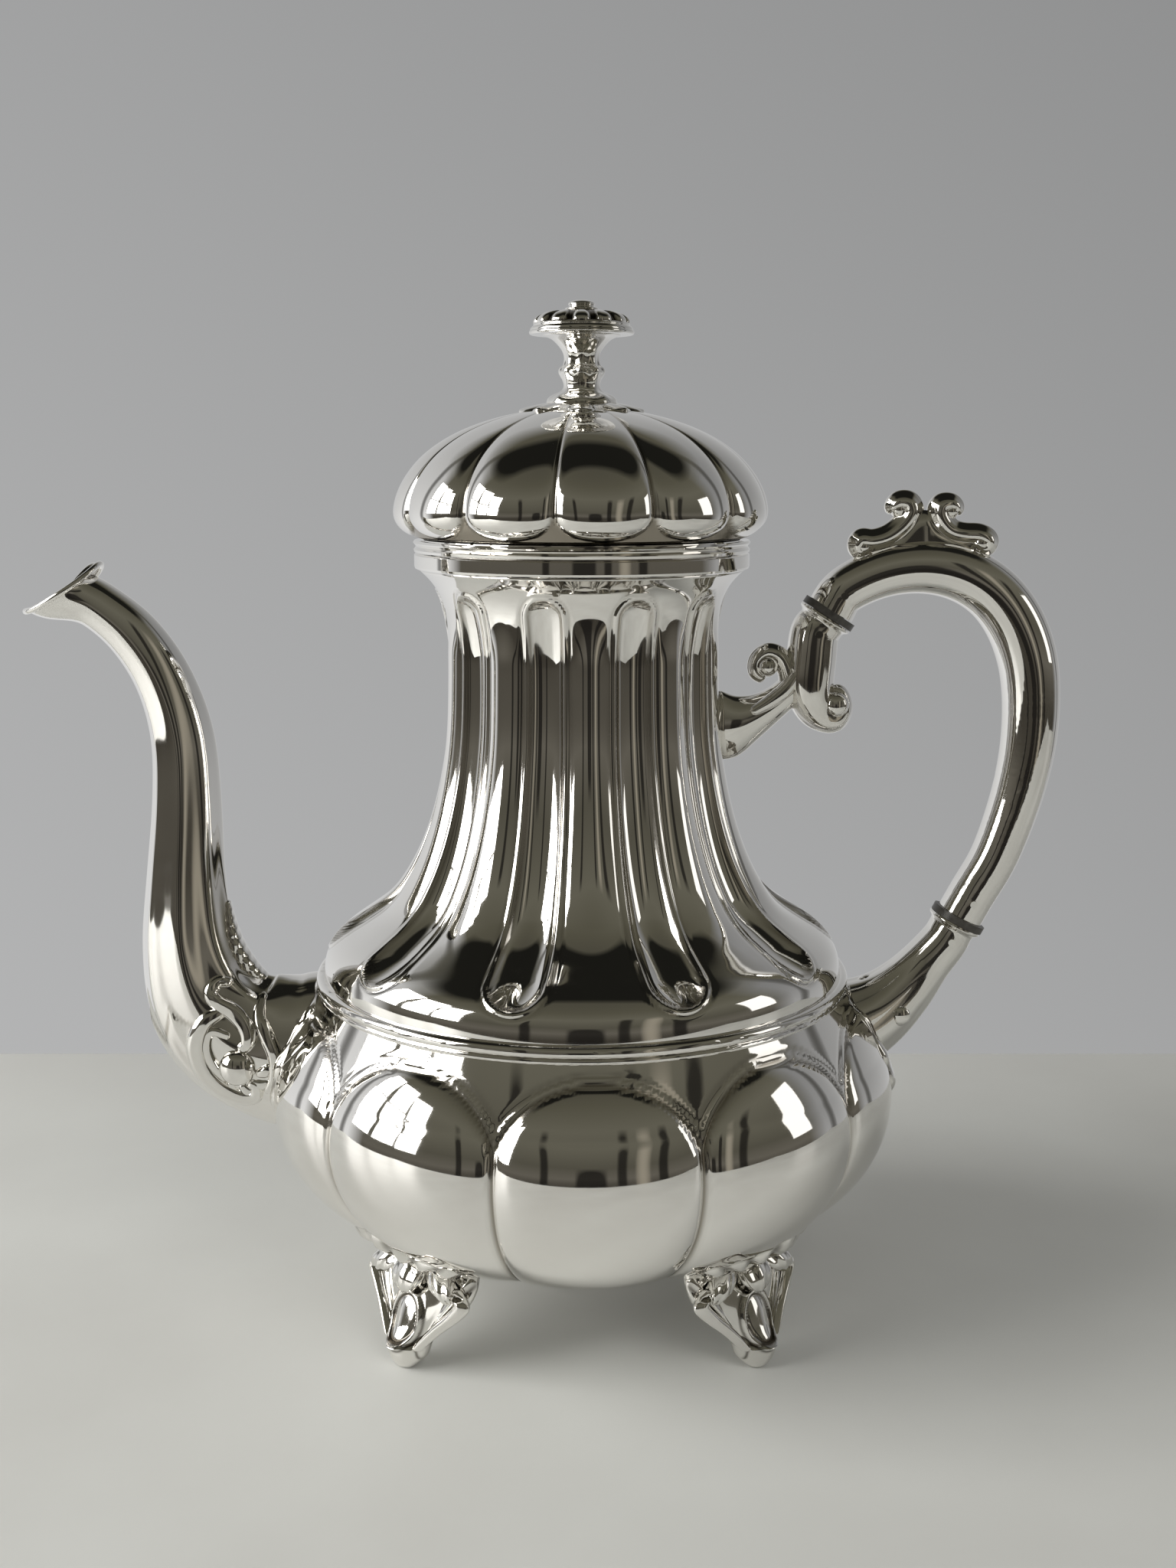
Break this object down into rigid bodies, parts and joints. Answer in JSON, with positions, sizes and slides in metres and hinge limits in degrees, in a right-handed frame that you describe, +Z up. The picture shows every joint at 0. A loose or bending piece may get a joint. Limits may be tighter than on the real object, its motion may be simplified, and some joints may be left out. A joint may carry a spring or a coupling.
{
  "type": "coffee pot",
  "caption": "Footed metal coffee pot with lobed bowl, fluted neck, tall curved spout, insulated scroll handle and lift-off lobed lid with finial.",
  "frame": {"origin": "centre of the bounding box's footprint, at table level; the bowl's upright axis is at X = +9.3 mm", "axes": "+Z up; the spout points to -X, the handle to +X, and the side seen in the picture faces -Y"},
  "size_m": [0.254, 0.1566, 0.2492],
  "materials": {
    "silver_body": "mirror-polished silver plate on raised sheet",
    "silver_cast": "polished silver plate on castings, dark in the hollows",
    "silver_inside": "satin silver plate on the inside faces",
    "insulator": "smooth heat-insulating fibre"
  },
  "bodies": {
    "pot": {"bowl": "silver_body", "bottom_plate": "silver_inside", "neck_flare": "silver_body", "neck_column": "silver_body", "shoulder_wire": "silver_cast", "rim_band": "silver_body", "spout_lower": "silver_body", "spout_upper": "silver_body", "spout_lip_wire": "silver_cast", "spout_collar": "silver_cast", "spout_scroll_front": "silver_cast", "spout_scroll_back": "silver_cast", "spout_leaf": "silver_cast", "handle_grip": "silver_body", "handle_upper_insulator": "insulator", "handle_lower_insulator": "insulator", "handle_upper_socket": "silver_cast", "handle_upper_bracket": "silver_cast", "handle_lower_socket": "silver_cast", "handle_collar": "silver_cast", "handle_thumb_scroll": "silver_cast", "handle_upper_pins": "silver_cast", "handle_lower_pins": "silver_cast", "foot_front_right": "silver_cast", "foot_back_right": "silver_cast", "foot_back_left": "silver_cast", "foot_front_left": "silver_cast", "foot_leaf_front_right": "silver_cast", "foot_leaf_back_right": "silver_cast", "foot_leaf_back_left": "silver_cast", "foot_leaf_front_left": "silver_cast"},
    "lid": {"lid_rim": "silver_body", "lid_bezel": "silver_inside", "lid_dome": "silver_body", "finial_leaf": "silver_cast", "finial_stem": "silver_cast", "finial_collar": "silver_cast", "finial_cap": "silver_cast", "finial_button": "silver_cast", "finial_washer": "silver_inside", "finial_nut": "silver_inside"}
  },
  "joints": [
    {"name": "lid_lift", "type": "slide", "parent": "pot", "child": "lid", "axis": [0, 0, 1], "range_m": [0, 0.12]}
  ]
}
